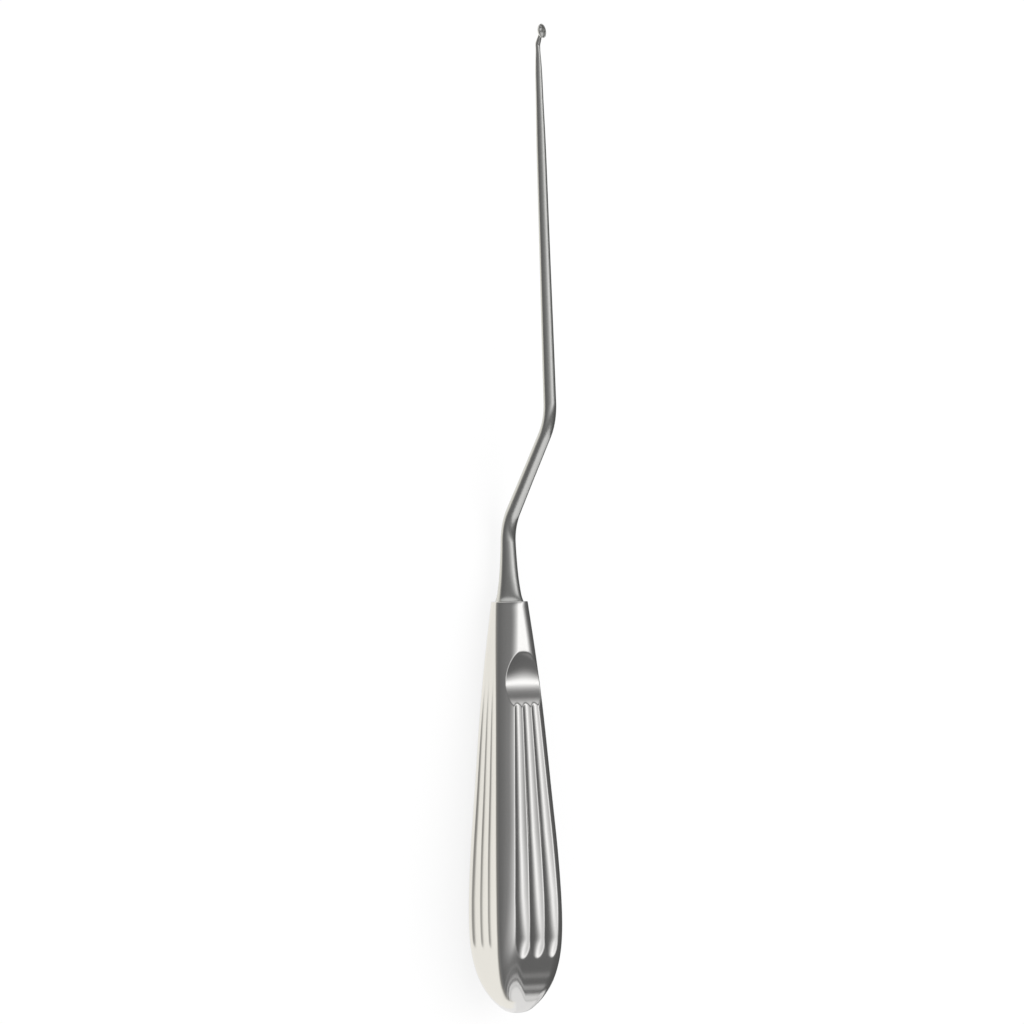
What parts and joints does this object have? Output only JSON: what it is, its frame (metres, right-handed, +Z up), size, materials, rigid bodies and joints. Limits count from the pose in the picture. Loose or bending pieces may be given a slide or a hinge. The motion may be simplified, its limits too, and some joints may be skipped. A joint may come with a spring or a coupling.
{
  "type": "bone curette",
  "caption": "Bone curette with a fluted teardrop handle, a thumb scoop, a bayonet-bent tapered shaft and a tiny oval cutting cup.",
  "frame": {"origin": "centre of the bounding box at the table, with the instrument lying on the back of its handle", "axes": "+Y from the butt to the cup, +Z up through the thumb face, +X across the handle"},
  "size_m": [0.0188, 0.2402, 0.0225],
  "materials": {
    "handle_steel": "satin stainless steel",
    "shaft_steel": "fine satin stainless steel"
  },
  "bodies": {
    "root": {"handle": "handle_steel", "shaft": "shaft_steel"}
  },
  "joints": []
}
